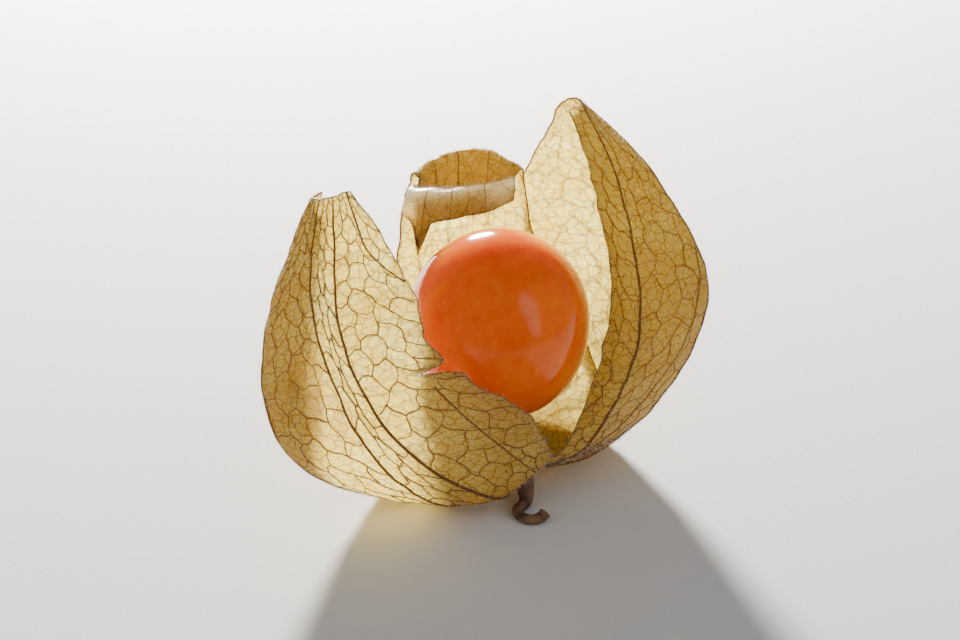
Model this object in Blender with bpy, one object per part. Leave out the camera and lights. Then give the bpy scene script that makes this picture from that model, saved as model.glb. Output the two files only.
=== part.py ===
"""A physalis berry in its opened husk, lying on a flat surface.

Three solids: the papery husk, torn open into three flaps that stay joined at the base; the berry;
and the stalk, whose end inside the husk carries the berry. Shapes are worked out in millimetres on
a flat surface at height 0, with the berry's middle above the point (0, 0), and become metres when
a mesh is made. The row's origin is the middle of the husk's footprint box.
"""
import math
import random

import bmesh
import bpy
import numpy as np
from mathutils import Vector
from mathutils.bvhtree import BVHTree

MM = 0.001

# Points this close, in metres, are one point
SAME_PLACE = 0.00001

# Berry
BERRY_CENTRE = Vector((0.0, 0.0, 16.0))
BERRY_RADIUS = 9.2
BERRY_TOP_LENGTH = 9.1
BERRY_FOOT_LENGTH = 10.2
BERRY_SIDES = 44
BERRY_RINGS = 22
SCAR_RADIUS = 0.9
SCAR_DEPTH = 0.25

# Husk wall, ribs and net. A vein's share is of the width of a cell of the net.
WALL = 0.6
RIB_RAISE = 0.55
NET_RAISE = 0.3
VEIN_SHARE = 0.16
HOLE_MARGIN = 0.12
TIP_FADE = 0.5
CREASE = 0.35
STALK_HOLE = Vector((2.4, -8.5, 3.4))
HOLE_RADIUS = 1.7
JITTER = 0.2
EDGE_WAVE = 0.12
EDGE_WAVE_RATE = 1.3
CURL_FADE = 0.6
SEED = 11

# Where the wall would cut through itself it is drawn towards its neighbours by this share a round
RELAX = 0.3
RELAX_ROUNDS = 30

# Rows of the net between the stalk's hole and the middle of a flap, and how far above the place
# where two flaps part, or one starts to curl, the change is complete
LOWER_ROWS = 6
JOIN_FADE = 0.1

# Guide ribs of the three flaps, from the stalk's hole to the tip, as points on the husk's outside.
# "along" is how far up the rib each point lies, from 0 at the hole to 1 at the tip. "columns" is
# how many cells of the net lie between each rib and the next, "upper_rows" how many rows of cells
# lie in the upper half. "joined" is how many half rows the flap holds to the one that follows it.
# "tears" are the half rows where the first edge is torn in, and how many columns deep. "curl" is
# how far up the flap starts to roll forward: from there the points are on the husk's inside.
FLAPS = (
    {
        "along": (0.14, 0.35, 0.55, 0.77, 1.0),
        "columns": (2, 2, 2, 1),
        "upper_rows": 6,
        "joined": 3,
        "tears": {12: 0.25},
        "curl": 1.0,
        "ribs": (
            ((4.8, -10.6, 6.4), (1.1, -10.9, 12.2), (-6.0, -10.2, 17.3), (-8.9, -6.3, 22.9), (-14.5, -1.6, 31.0)),
            ((0.3, -13.4, 2.9), (-8.7, -14.9, 8.9), (-14.5, -12.3, 17.3), (-16.0, -7.0, 24.3), (-16.2, -2.4, 30.6)),
            ((-3.9, -12.0, 1.3), (-12.2, -15.3, 8.7), (-17.3, -11.2, 18.3), (-18.3, -6.0, 25.2), (-17.6, -2.3, 30.2)),
            ((-5.9, -8.3, -0.2), (-19.5, -12.8, 6.2), (-23.3, -8.3, 15.1), (-21.2, -4.0, 23.6), (-18.5, -0.9, 29.8)),
            ((-6.5, -3.0, -0.5), (-16.4, -5.3, 5.0), (-19.0, 0.6, 13.3), (-19.0, 1.8, 22.1), (-17.6, 0.9, 29.6)),
        ),
    },
    {
        "along": (0.14, 0.28, 0.46, 0.62, 0.72, 0.81, 0.9, 1.0),
        "columns": (1, 1, 2, 2),
        "upper_rows": 12,
        "joined": 4,
        "tears": {},
        "curl": 0.6,
        "ribs": (
            (
                (-6.5, -3.0, -0.5), (-7.5, 6.5, 1.5), (-9.8, 12.0, 11.0), (-10.3, 12.4, 19.0),
                (-8.6, 14.0, 25.0), (-8.8, 12.6, 24.6), (-9.3, 10.9, 24.2), (-9.8, 9.8, 22.2),
            ),
            (
                (-4.0, -2.2, -0.7), (-5.0, 8.0, 1.0), (-7.3, 13.8, 11.2), (-8.2, 14.4, 19.8),
                (-6.8, 15.6, 26.0), (-6.8, 13.2, 23.3), (-7.2, 10.2, 24.4), (-8.0, 8.0, 21.0),
            ),
            (
                (-1.0, -1.0, -0.7), (-2.2, 9.3, 1.0), (-4.3, 15.0, 11.7), (-5.2, 15.7, 20.8),
                (-4.2, 16.5, 26.7), (-4.4, 13.4, 22.3), (-4.7, 10.1, 24.5), (-5.2, 8.9, 22.3),
            ),
            (
                (2.6, 0.2, -0.7), (1.6, 10.0, 1.2), (-0.3, 15.0, 12.0), (-1.0, 15.7, 21.2),
                (-0.9, 16.5, 26.7), (-1.2, 13.5, 22.4), (-1.4, 10.6, 24.8), (-1.7, 9.7, 22.9),
            ),
            (
                (8.0, 1.0, -0.1), (9.0, 8.6, 2.5), (6.4, 13.1, 11.0), (3.6, 13.8, 20.0),
                (2.2, 14.8, 25.3), (2.0, 13.4, 24.7), (1.6, 12.0, 24.8), (1.2, 11.3, 23.8),
            ),
        ),
    },
    {
        "along": (0.14, 0.35, 0.55, 0.77, 0.9, 1.0),
        "columns": (2, 2, 2, 1),
        "upper_rows": 6,
        "joined": 2,
        "tears": {},
        "curl": 1.0,
        "ribs": (
            (
                (8.0, 1.0, -0.1), (9.8, 10.2, 3.2), (5.2, 16.9, 12.5), (2.2, 18.4, 22.4),
                (4.9, 17.6, 28.3), (5.8, 15.6, 32.2),
            ),
            (
                (9.8, -1.7, 1.2), (15.7, 5.3, 6.0), (16.0, 12.0, 16.0), (11.0, 15.8, 26.0),
                (8.9, 16.4, 30.2), (6.8, 16.1, 33.2),
            ),
            (
                (8.8, -5.0, 3.3), (16.0, -1.8, 7.2), (21.3, 3.5, 16.3), (17.4, 9.2, 25.3),
                (13.6, 12.3, 29.6), (8.0, 15.6, 33.8),
            ),
            (
                (7.6, -8.0, 4.7), (11.4, -7.1, 9.9), (14.2, -2.5, 16.5), (12.9, 4.7, 25.2),
                (11.4, 9.0, 29.4), (8.6, 14.0, 33.7),
            ),
            (
                (5.9, -9.2, 5.4), (8.9, -6.3, 10.3), (11.3, -0.5, 18.3), (9.9, 7.0, 26.2),
                (8.7, 10.6, 30.0), (7.2, 12.9, 33.4),
            ),
        ),
    },
)

# The stalk: where its middle runs and how thick it is there, from under the berry to the cut end
STALK_ROUTE = (
    ((1.58, -5.65, 7.3), 2.1),
    ((1.8, -6.5, 5.95), 1.5),
    ((2.15, -7.65, 4.4), 1.15),
    ((2.45, -8.7, 2.85), 1.05),
    ((2.7, -9.6, 1.5), 0.85),
    ((2.6, -10.8, 0.8), 0.65),
    ((1.9, -11.8, 0.62), 0.57),
    ((2.1, -12.9, 0.56), 0.52),
    ((3.0, -13.6, 0.55), 0.52),
    ((4.0, -13.6, 0.72), 0.56),
    ((4.6, -13.2, 1.1), 0.62),
)
STALK_STEPS = 3
STALK_ROUNDNESS = 2


def clear_scene():
    for old in list(bpy.data.objects):
        bpy.data.objects.remove(old)


def make_material(name, colour, roughness):
    material = bpy.data.materials.new(name)
    material.use_nodes = True
    shader = material.node_tree.nodes["Principled BSDF"]
    shader.inputs["Base Color"].default_value = (*colour, 1.0)
    shader.inputs["Roughness"].default_value = roughness
    shader.inputs["Metallic"].default_value = 0.0
    return material


def curve_through(knots, points, at):
    """A natural cubic curve through points at knots, read at each value of at."""
    knots = np.asarray(knots, float)
    points = np.asarray(points, float)
    count = len(knots)
    step = np.diff(knots)
    system = np.zeros((count, count))
    pull = np.zeros_like(points)
    system[0, 0] = system[-1, -1] = 1.0
    for i in range(1, count - 1):
        system[i, i - 1 : i + 2] = step[i - 1], 2 * (step[i - 1] + step[i]), step[i]
        pull[i] = 6 * ((points[i + 1] - points[i]) / step[i] - (points[i] - points[i - 1]) / step[i - 1])
    bend = np.linalg.solve(system, pull)
    at = np.atleast_1d(at)
    i = np.clip(np.searchsorted(knots, at, side="right") - 1, 0, count - 2)
    t = (at - knots[i])[:, None]
    h = step[i][:, None]
    slope = (points[i + 1] - points[i]) / h - h * (2 * bend[i] + bend[i + 1]) / 6
    return points[i] + slope * t + bend[i] / 2 * t**2 + (bend[i + 1] - bend[i]) / (6 * h) * t**3


def hole_edge(towards):
    """The point of the stalk hole's edge that lies nearest to the direction of towards."""
    hole = np.array(STALK_HOLE)
    axis = np.array(BERRY_CENTRE) - hole
    axis /= np.linalg.norm(axis)
    out = np.asarray(towards, float) - hole
    out -= axis * (out @ axis)
    return hole + out / np.linalg.norm(out) * HOLE_RADIUS


def rib_point(flap, rib, along):
    points = flap["ribs"][rib]
    return curve_through((0.0, *flap["along"]), (hole_edge(points[0]), *points), along)[0]


def ease(start, along):
    """0 up to start, rising to 1 a little further up."""
    share = min(max((along - start) / JOIN_FADE, 0.0), 1.0)
    return share * share * (3 - 2 * share)


def hold(flap, along):
    """1 where the flap holds to the one that follows it, falling to 0 a little further up."""
    return 1 - ease(flap["joined"] / (4 * LOWER_ROWS), along)


def flap_surface(number):
    """A function of (rib position, share along) that gives a point on the flap's outside.

    Low down, each side of the flap is drawn to the middle line between it and the next flap.
    """
    before, flap = FLAPS[number - 1], FLAPS[number]
    after = FLAPS[(number + 1) % len(FLAPS)]
    last = len(flap["ribs"]) - 1
    positions = np.arange(last + 1, dtype=float)

    def surface(across, along):
        row = np.array([rib_point(flap, rib, along) for rib in range(last + 1)])
        low = int(min(max(math.floor(across), 0), last - 1))
        share = across - low
        flat = row[low] * (1 - share) + row[low + 1] * share
        place = flat * CREASE + curve_through(positions, row, across)[0] * (1 - CREASE)
        first_pull = (rib_point(before, len(before["ribs"]) - 1, along) - row[0]) / 2
        last_pull = (rib_point(after, 0, along) - row[last]) / 2
        place = place + first_pull * hold(before, along) * max(1 - across, 0.0) ** 2
        return place + last_pull * hold(flap, along) * max(1 - last + across, 0.0) ** 2

    return surface


def outward(surface, across, along):
    """The husk's outward direction there."""
    reach = 0.01
    up = surface(across, min(along + reach, 1.0)) - surface(across, max(along - reach, 0.0))
    side = surface(across + reach, along) - surface(across - reach, along)
    normal = np.cross(up, side)
    return normal / np.linalg.norm(normal)


def rib_positions(flap):
    """The rib position of every column line of the net, across the flap."""
    positions = [0.0]
    for rib, count in enumerate(flap["columns"]):
        positions += [rib + (k + 1) / count for k in range(count)]
    return positions


def along_at(flap, row):
    """How far up the flap a row of the net lies."""
    if row <= LOWER_ROWS:
        return 0.5 * row / LOWER_ROWS
    return 0.5 + 0.5 * (row - LOWER_ROWS) / flap["upper_rows"]


def net_pattern(flap, joined_before, parity, chance):
    """The net of one flap laid out flat: six-sided cells in brick order, each with a border round it.

    Returns the vertices as (column line, row, raise, key) and the triangles. key names a vertex of
    a flap's edge, where the next flap may be joined to it.
    """
    positions = rib_positions(flap)
    last = len(positions) - 1
    top = 2 * (LOWER_ROWS + flap["upper_rows"])
    mesh = bmesh.new()
    grid = {}
    places = {}
    for line in range(last + 1):
        on_rib = abs(positions[line] - round(positions[line])) < 1e-6
        phase = chance.uniform(0, math.tau)
        for half_row in range(top + 1):
            x, y = float(line), half_row / 2
            if 0 < half_row < top:
                if 0 < line < last:
                    y += chance.uniform(-JITTER, JITTER)
                    x += 0 if on_rib else chance.uniform(-JITTER, JITTER)
                elif half_row > (joined_before if line == 0 else flap["joined"]) + 1:
                    x += EDGE_WAVE * math.sin(half_row * EDGE_WAVE_RATE + phase)
            if line == 0:
                x += flap["tears"].get(half_row, 0.0)
            vertex = mesh.verts.new((x, y, 0.0))
            grid[line, half_row] = vertex
            places[tuple(vertex.co.to_2d())] = (line, half_row, on_rib)
    for line in range(last):
        start = (line + parity) % 2
        edges = sorted({0, top, *range(start, top + 1, 2)})
        for low, high in zip(edges, edges[1:]):
            left = [grid[line, row] for row in range(low, high + 1)]
            right = [grid[line + 1, row] for row in range(high, low - 1, -1)]
            mesh.faces.new(left + right)
    mesh.normal_update()
    bmesh.ops.inset_individual(mesh, faces=mesh.faces[:], thickness=VEIN_SHARE, use_even_offset=True)
    cells = [face for face in mesh.faces if len(face.verts) > 4 or not touches(face, places)]
    bmesh.ops.poke(mesh, faces=cells)
    bmesh.ops.triangulate(mesh, faces=mesh.faces[:])
    mesh.verts.index_update()
    vertices = []
    for vertex in mesh.verts:
        raised, key = 0.0, None
        if tuple(vertex.co.to_2d()) in places:
            line, half_row, on_rib = places[tuple(vertex.co.to_2d())]
            raised = RIB_RAISE if on_rib else NET_RAISE
            if line in (0, last):
                key = ("first" if line == 0 else "last", half_row)
        vertices.append((vertex.co.x, vertex.co.y, raised, key))
    triangles = [tuple(v.index for v in face.verts) for face in mesh.faces]
    mesh.free()
    return vertices, triangles


def touches(face, places):
    """Whether the face has a corner on the net's lines."""
    return any(tuple(vertex.co.to_2d()) in places for vertex in face.verts)


def husk_sheets():
    """Every husk vertex as [outside point, outward direction, raise], and the triangles of one face."""
    chance = random.Random(SEED)
    places, triangles, edge_keys = [], [], {}
    parity = 0
    for number, flap in enumerate(FLAPS):
        surface = flap_surface(number)
        positions = rib_positions(flap)
        vertices, faces = net_pattern(flap, FLAPS[number - 1]["joined"], parity, chance)
        parity = (parity + len(positions) - 1) % 2
        start = len(places)
        for x, y, raised, key in vertices:
            line = int(min(max(math.floor(x), 0), len(positions) - 2))
            across = positions[line] + (positions[line + 1] - positions[line]) * (x - line)
            along = along_at(flap, y)
            raised *= min(along / HOLE_MARGIN, 1.0) * (1 - TIP_FADE * along)
            raised *= 1 - CURL_FADE * ease(flap["curl"], along)
            normal = outward(surface, across, along)
            place = surface(across, along) + normal * WALL * ease(flap["curl"], along)
            places.append([place, normal, raised])
            if key:
                edge_keys[number, *key] = len(places) - 1
        triangles += [tuple(start + i for i in face) for face in faces]
    return join_flaps(places, triangles, edge_keys)


def join_flaps(places, triangles, edge_keys):
    """Makes each flap's last edge one with the next flap's first edge, as far up as they are joined."""
    same = list(range(len(places)))
    for number, flap in enumerate(FLAPS):
        following = (number + 1) % len(FLAPS)
        for half_row in range(flap["joined"] + 1):
            here = edge_keys[number, "last", half_row]
            there = edge_keys[following, "first", half_row]
            middle = (places[here][0] + places[there][0]) / 2
            normal = places[here][1] + places[there][1]
            places[here] = [middle, normal / np.linalg.norm(normal), places[here][2]]
            same[there] = here
    used = sorted(set(same))
    number_of = {old: new for new, old in enumerate(used)}
    faces = [tuple(number_of[same[i]] for i in face) for face in triangles]
    return [places[i] for i in used], faces


def wall_polygons(faces, count):
    """The polygons of a wall: inside points are numbered as in faces, outside points count higher."""
    polygons = [tuple(i + count for i in face) for face in faces]
    polygons += [tuple(reversed(face)) for face in faces]
    edges = {}
    for face in faces:
        for a, b in zip(face, face[1:] + face[:1]):
            edges[a, b] = True
    for a, b in edges:
        if (b, a) not in edges:
            polygons += [(b + count, a + count, a), (b + count, a, b)]
    return polygons


def crossing_points(points, polygons):
    """The numbers of the points whose polygons cut through others."""
    tree = BVHTree.FromPolygons([Vector(point) for point in points], polygons)
    found = set()
    for a, b in tree.overlap(tree):
        if not set(polygons[a]) & set(polygons[b]):
            found.update(polygons[a] + polygons[b])
    return found


def relax_crossings(points, polygons, faces, count):
    """Draws both faces of the wall towards their neighbours wherever the wall cuts through itself."""
    near = [set() for _ in range(count)]
    for face in faces:
        for i in face:
            near[i].update(face)
    for _ in range(RELAX_ROUNDS):
        found = {i % count for i in crossing_points(points, polygons)}
        if not found:
            return
        for i in sorted(set().union(*(near[k] for k in found))):
            around = sorted(near[i] - {i})
            for side in (0, count):
                middle = sum(points[k + side] for k in around) / len(around)
                points[i + side] = points[i + side] * (1 - RELAX) + middle * RELAX
    raise RuntimeError("the husk's wall still cuts through itself")


def build_husk(material):
    places, faces = husk_sheets()
    outside = [point + normal * raised for point, normal, raised in places]
    inside = [point - normal * WALL for point, normal, _ in places]
    for low, points in ((WALL, inside), (0.0, outside)):
        for point in points:
            point[2] = max(point[2], low)
    points = inside + outside
    polygons = wall_polygons(faces, len(places))
    relax_crossings(points, polygons, faces, len(places))
    return finish_mesh("husk", points, polygons, material, smooth_under=50)


def berry_profile():
    """Half the berry's outline, from the scar at its top down to its foot, as (radius, height)."""
    outline = []
    for i in range(BERRY_RINGS + 1):
        angle = math.pi * i / BERRY_RINGS
        length = BERRY_TOP_LENGTH if angle < math.pi / 2 else BERRY_FOOT_LENGTH
        radius = BERRY_RADIUS * math.sin(angle)
        height = length * math.cos(angle)
        height -= SCAR_DEPTH * math.exp(-((radius / SCAR_RADIUS) ** 2)) * (1 if height > 0 else -1)
        outline.append((radius, height))
    return outline


def build_berry(material):
    """The berry is its outline turned round the line from its foot on the stalk to its top."""
    axis = (BERRY_CENTRE - STALK_HOLE).normalized()
    turn = axis.to_track_quat("Z", "Y")
    points, polygons = [], []
    outline = berry_profile()
    for radius, height in outline[1:-1]:
        for k in range(BERRY_SIDES):
            angle = 2 * math.pi * k / BERRY_SIDES
            points.append(Vector((radius * math.cos(angle), radius * math.sin(angle), height)))
    rings = len(outline) - 2
    for ring in range(rings - 1):
        for k in range(BERRY_SIDES):
            after = (k + 1) % BERRY_SIDES
            upper, lower = ring * BERRY_SIDES, (ring + 1) * BERRY_SIDES
            polygons.append((upper + k, lower + k, lower + after, upper + after))
    top, foot = len(points), len(points) + 1
    points += [Vector((0, 0, outline[0][1])), Vector((0, 0, outline[-1][1]))]
    for k in range(BERRY_SIDES):
        after = (k + 1) % BERRY_SIDES
        polygons.append((top, k, after))
        last = (rings - 1) * BERRY_SIDES
        polygons.append((foot, last + after, last + k))
    placed = [BERRY_CENTRE + turn @ point for point in points]
    return finish_mesh("berry", placed, polygons, material, smooth_under=80)


def build_stalk(material):
    """A tapered round stalk: widest under the berry, thin where it curls on the surface."""
    places = np.array([place for place, _ in STALK_ROUTE])
    radii = np.array([[radius] for _, radius in STALK_ROUTE])
    knots = np.arange(len(STALK_ROUTE), dtype=float)
    steps = np.linspace(0, len(STALK_ROUTE) - 1, STALK_STEPS * (len(STALK_ROUTE) - 1) + 1)
    curve = bpy.data.curves.new("stalk", "CURVE")
    curve.dimensions = "3D"
    curve.bevel_depth = MM
    curve.bevel_resolution = STALK_ROUNDNESS
    curve.use_fill_caps = True
    spline = curve.splines.new("POLY")
    spline.points.add(len(steps) - 1)
    middle = curve_through(knots, places, steps)
    thickness = curve_through(knots, radii, steps)
    for point, place, radius in zip(spline.points, middle, thickness):
        point.co = (*(place * MM), 1.0)
        point.radius = float(radius[0])
    drawn = bpy.data.objects.new("stalk_line", curve)
    bpy.context.scene.collection.objects.link(drawn)
    mesh = bpy.data.meshes.new_from_object(drawn)
    bpy.data.objects.remove(drawn)
    closed = bmesh.new()
    closed.from_mesh(mesh)
    bmesh.ops.remove_doubles(closed, verts=closed.verts[:], dist=SAME_PLACE)
    bmesh.ops.recalc_face_normals(closed, faces=closed.faces[:])
    closed.to_mesh(mesh)
    closed.free()
    return place_mesh("stalk", mesh, material, smooth_under=50)


def finish_mesh(name, points, polygons, material, smooth_under):
    mesh = bpy.data.meshes.new(name)
    mesh.from_pydata([Vector(point) * MM for point in points], [], polygons)
    return place_mesh(name, mesh, material, smooth_under)


def place_mesh(name, mesh, material, smooth_under):
    mesh.name = name
    mesh.shade_smooth()
    mesh.set_sharp_from_angle(angle=math.radians(smooth_under))
    mesh.materials.clear()
    mesh.materials.append(material)
    made = bpy.data.objects.new(name, mesh)
    bpy.context.scene.collection.objects.link(made)
    return made


def main():
    clear_scene()
    husk_paper = make_material("husk_paper", (0.72, 0.55, 0.24), 0.6)
    berry_skin = make_material("berry_skin", (0.80, 0.22, 0.02), 0.2)
    stalk_bark = make_material("stalk_bark", (0.23, 0.13, 0.06), 0.75)
    parts = [build_husk(husk_paper), build_berry(berry_skin), build_stalk(stalk_bark)]
    corners = np.array([vertex.co for vertex in parts[0].data.vertices])
    middle = (corners.min(0) + corners.max(0)) / 2
    for part in parts:
        part.location = (-middle[0], -middle[1], 0.0)


main()
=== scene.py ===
"""Physalis berry in its opened papery husk.

Builds the husk's thin wall with its ribs and net of veins, the short hairs on it, the berry and the
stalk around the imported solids, and sets up a plain studio stage with the camera. Lengths are worked
out in millimetres, with the berry's middle above (0, 0), and become metres in the row's frame when
a mesh is made.
"""

import math
import random
from types import SimpleNamespace

import bpy
import numpy as np
from mathutils import Matrix, Vector


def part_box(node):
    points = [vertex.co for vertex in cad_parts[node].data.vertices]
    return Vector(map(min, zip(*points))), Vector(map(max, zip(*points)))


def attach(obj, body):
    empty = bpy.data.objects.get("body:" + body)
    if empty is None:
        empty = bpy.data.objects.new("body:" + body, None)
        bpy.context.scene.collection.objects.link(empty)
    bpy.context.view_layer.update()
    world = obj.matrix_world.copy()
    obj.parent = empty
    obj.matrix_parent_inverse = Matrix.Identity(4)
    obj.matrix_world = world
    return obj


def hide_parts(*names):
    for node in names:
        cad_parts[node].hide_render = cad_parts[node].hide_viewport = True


bl_info = {
    "name": "Physalis Berry",
    "version": (1, 0, 0),
    "blender": (4, 5, 0),
    "location": "View3D > Sidebar > Physalis",
    "description": "Builds a physalis berry in its opened husk, with a plain studio stage",
    "category": "Object",
}

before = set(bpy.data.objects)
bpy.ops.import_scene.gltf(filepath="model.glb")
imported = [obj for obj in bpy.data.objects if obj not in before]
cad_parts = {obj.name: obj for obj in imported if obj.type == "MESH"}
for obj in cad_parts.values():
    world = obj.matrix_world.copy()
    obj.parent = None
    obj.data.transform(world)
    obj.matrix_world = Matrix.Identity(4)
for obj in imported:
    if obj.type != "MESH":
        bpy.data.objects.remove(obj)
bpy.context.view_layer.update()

MM = 0.001

# Middle of the solid berry's box in the millimetre space, which places that space in the frame
BERRY_BOX_MIDDLE = (0.015, -0.165)

BERRY_CENTRE = Vector((0.0, 0.0, 16.0))
STALK_HOLE = Vector((2.4, -8.5, 3.4))
HOLE_RADIUS = 1.7

# The solid husk's own measures: how straight its surface runs between ribs, 0 for smooth and 1 for
# straight; rows of cells in its lower half; how gently joined edges part, as a share along; its wall
CREASE = 0.35
LOWER_ROWS = 6
JOIN_FADE = 0.1
SOLID_WALL = 0.6

# Share of the hole's radius by which the thin wall closes in, so that it meets the stalk
HOLE_CLOSING = 0.28

# Rows of the fine wall from hole to tip; a multiple of four times LOWER_ROWS, so that the places
# where two flaps part fall on a row
FINE_ROWS = 144

# Places in FLAPS of the flap to the left of the berry and of the one behind it
LEFT, BACK = 0, 1

# Middle and reach, as shares along, of the back flap's overlap and of its glossy lip with a painted
# highlight; reach of the left flap's tear; middle and reach of its dent, as (rib position, share along)
OVERLAP = (0.34, 0.11)
LIP_PLACE, LIP_REACH = 0.893, 0.045
TEAR_REACH = 0.011
DENT_PLACE, DENT_REACH = (2.35, 0.46), (0.3, 0.065)

# How much shorter the back flap's tip is beside its hanging point, as a share along
BACK_SHORTER = 0.03

# Radius of the cords along the free edges, as a share of a rib's
EDGE_SHARE = 0.9

# Millimetres between the flaps' places on the map of the paper, and a distance from the free
# edges past which nothing changes
MAP_STEP = 90.0
FAR_FROM_EDGE = 9.0

# Guide ribs of the flap to the left of the berry, the one behind it and the right one, each from the
# stalk's hole to the tip, as points on the husk's outside
LEFT_RIBS = (
    ((4.8, -10.6, 6.4), (1.1, -10.9, 12.2), (-6.0, -10.2, 17.3), (-8.9, -6.3, 22.9), (-14.5, -1.6, 31.0)),
    ((0.3, -13.4, 2.9), (-8.7, -14.9, 8.9), (-14.5, -12.3, 17.3), (-16.0, -7.0, 24.3), (-16.2, -2.4, 30.6)),
    ((-3.9, -12.0, 1.3), (-12.2, -15.3, 8.7), (-17.3, -11.2, 18.3), (-18.3, -6.0, 25.2), (-17.6, -2.3, 30.2)),
    ((-5.9, -8.3, -0.2), (-19.5, -12.8, 6.2), (-23.3, -8.3, 15.1), (-21.2, -4.0, 23.6), (-18.5, -0.9, 29.8)),
    ((-6.5, -3.0, -0.5), (-16.4, -5.3, 5.0), (-19.0, 0.6, 13.3), (-19.0, 1.8, 22.1), (-17.6, 0.9, 29.6)),
)
BACK_RIBS = (
    (
        (-6.5, -3.0, -0.5), (-7.5, 6.5, 1.5), (-9.8, 12.0, 11.0), (-10.3, 12.4, 19.0), (-8.6, 14.0, 25.0),
        (-8.8, 13.0, 24.2), (-9.1, 11.9, 24.6), (-9.3, 10.9, 24.5), (-9.5, 9.9, 23.9), (-9.8, 9.5, 22.2),
    ),
    (
        (-4.0, -2.2, -0.7), (-5.0, 8.0, 1.0), (-7.3, 13.8, 11.2), (-8.2, 14.4, 19.8), (-6.8, 15.6, 26.0),
        (-6.8, 13.3, 23.0), (-7.1, 11.8, 24.3), (-7.2, 10.4, 24.8), (-7.5, 9.0, 24.0), (-8.0, 8.0, 21.4),
    ),
    (
        (-1.0, -1.0, -0.7), (-2.2, 9.3, 1.0), (-4.3, 15.0, 11.7), (-5.2, 15.7, 20.8), (-4.2, 16.5, 26.7),
        (-4.4, 13.4, 22.3), (-4.6, 11.8, 24.2), (-4.7, 10.4, 24.9), (-4.9, 9.0, 24.1), (-5.2, 8.6, 22.3),
    ),
    (
        (2.6, 0.2, -0.7), (1.6, 10.0, 1.2), (-0.3, 15.0, 12.0), (-1.0, 15.7, 21.2), (-0.9, 16.5, 26.7),
        (-1.2, 13.6, 22.4), (-1.35, 12.2, 24.4), (-1.4, 10.9, 25.1), (-1.5, 9.6, 24.5), (-1.7, 9.3, 22.9),
    ),
    (
        (8.0, 1.0, -0.1), (9.0, 8.6, 2.5), (6.4, 13.1, 11.0), (3.6, 13.8, 20.0), (2.2, 14.8, 25.3),
        (2.0, 13.6, 24.6), (1.8, 12.8, 25.1), (1.6, 12.0, 25.1), (1.4, 11.2, 24.7), (1.2, 10.9, 23.8),
    ),
)
RIGHT_RIBS = (
    (
        (8.0, 1.0, -0.1), (9.8, 10.2, 3.2), (5.2, 16.9, 12.5), (2.2, 18.4, 22.4), (4.9, 17.6, 28.3),
        (5.8, 15.6, 32.2),
    ),
    (
        (9.8, -1.7, 1.2), (15.7, 5.3, 6.0), (16.0, 12.0, 16.0), (11.0, 15.8, 26.0), (8.9, 16.4, 30.2),
        (6.8, 16.1, 33.2),
    ),
    (
        (8.8, -5.0, 3.3), (16.0, -1.8, 7.2), (21.3, 3.5, 16.3), (17.4, 9.2, 25.3), (13.6, 12.3, 29.6),
        (8.0, 15.6, 33.8),
    ),
    (
        (7.6, -8.0, 4.7), (11.4, -7.1, 9.9), (14.2, -2.5, 16.5), (12.9, 4.7, 25.2), (11.4, 9.0, 29.4),
        (8.6, 14.0, 33.7),
    ),
    (
        (5.9, -9.2, 5.4), (8.9, -6.3, 10.3), (11.3, -0.5, 18.3), (9.9, 7.0, 26.2), (8.7, 10.6, 30.0),
        (7.2, 12.9, 33.4),
    ),
)

# The three flaps. "along" is how far up its ribs each of their points lies. "joined" is how many
# quarter rows of the lower half the flap holds to the one that follows it. "curl" is how far up the
# flap starts to roll forward, with the points on the inside from there. "fine" is how many steps of
# the fine wall, and "cells" how many cells of the net, lie between each rib and the next. "strength"
# is each rib's thickness, and "long" the long side veins, as (rib position, share along).
FLAPS = (
    {
        "along": (0.14, 0.35, 0.55, 0.77, 1.0),
        "joined": 3,
        "curl": 1.0,
        "fine": (28, 18, 26, 22),
        "cells": (4, 3, 4, 3),
        "strength": (0.55, 1.0, 0.9, 0.8, 0.5),
        "long": (
            ((0.30, 0.46), (0.34, 0.36), (0.35, 0.24), (0.34, 0.10)),
            ((0.30, 0.995), (0.38, 0.95), (0.42, 0.89), (0.36, 0.84), (0.03, 0.775)),
        ),
        "ribs": LEFT_RIBS,
    },
    {
        "along": (0.14, 0.28, 0.46, 0.62, 0.72, 0.81, 0.865, 0.9, 0.935, 1.0),
        "joined": 4,
        "curl": 0.6,
        "fine": (8, 12, 12, 12),
        "cells": (1, 2, 2, 1),
        "strength": (0.5, 0.8, 0.9, 0.8, 0.5),
        "long": (),
        "ribs": BACK_RIBS,
    },
    {
        "along": (0.14, 0.35, 0.55, 0.77, 0.9, 1.0),
        "joined": 2,
        "curl": 1.0,
        "fine": (30, 26, 26, 14),
        "cells": (4, 4, 4, 2),
        "strength": (0.5, 1.0, 1.0, 1.0, 0.55),
        "long": (
            ((1.5, 0.12), (1.55, 0.3), (1.6, 0.5), (1.95, 0.72)),
            ((2.5, 0.12), (2.45, 0.3), (2.3, 0.5), (2.05, 0.66)),
        ),
        "ribs": RIGHT_RIBS,
    },
)

# The stalk: where its middle runs and how thick it is there, from under the berry to the cut end
STALK_ROUTE = (
    ((1.58, -5.65, 7.3), 2.1),
    ((1.8, -6.5, 5.95), 1.5),
    ((2.15, -7.65, 4.4), 1.15),
    ((2.45, -8.7, 2.85), 1.05),
    ((2.7, -9.6, 1.5), 0.85),
    ((2.6, -10.8, 0.8), 0.65),
    ((1.9, -11.8, 0.62), 0.57),
    ((2.1, -12.9, 0.56), 0.52),
    ((3.0, -13.6, 0.55), 0.52),
    ((4.0, -13.6, 0.72), 0.56),
    ((4.6, -13.2, 1.1), 0.62),
)

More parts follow.
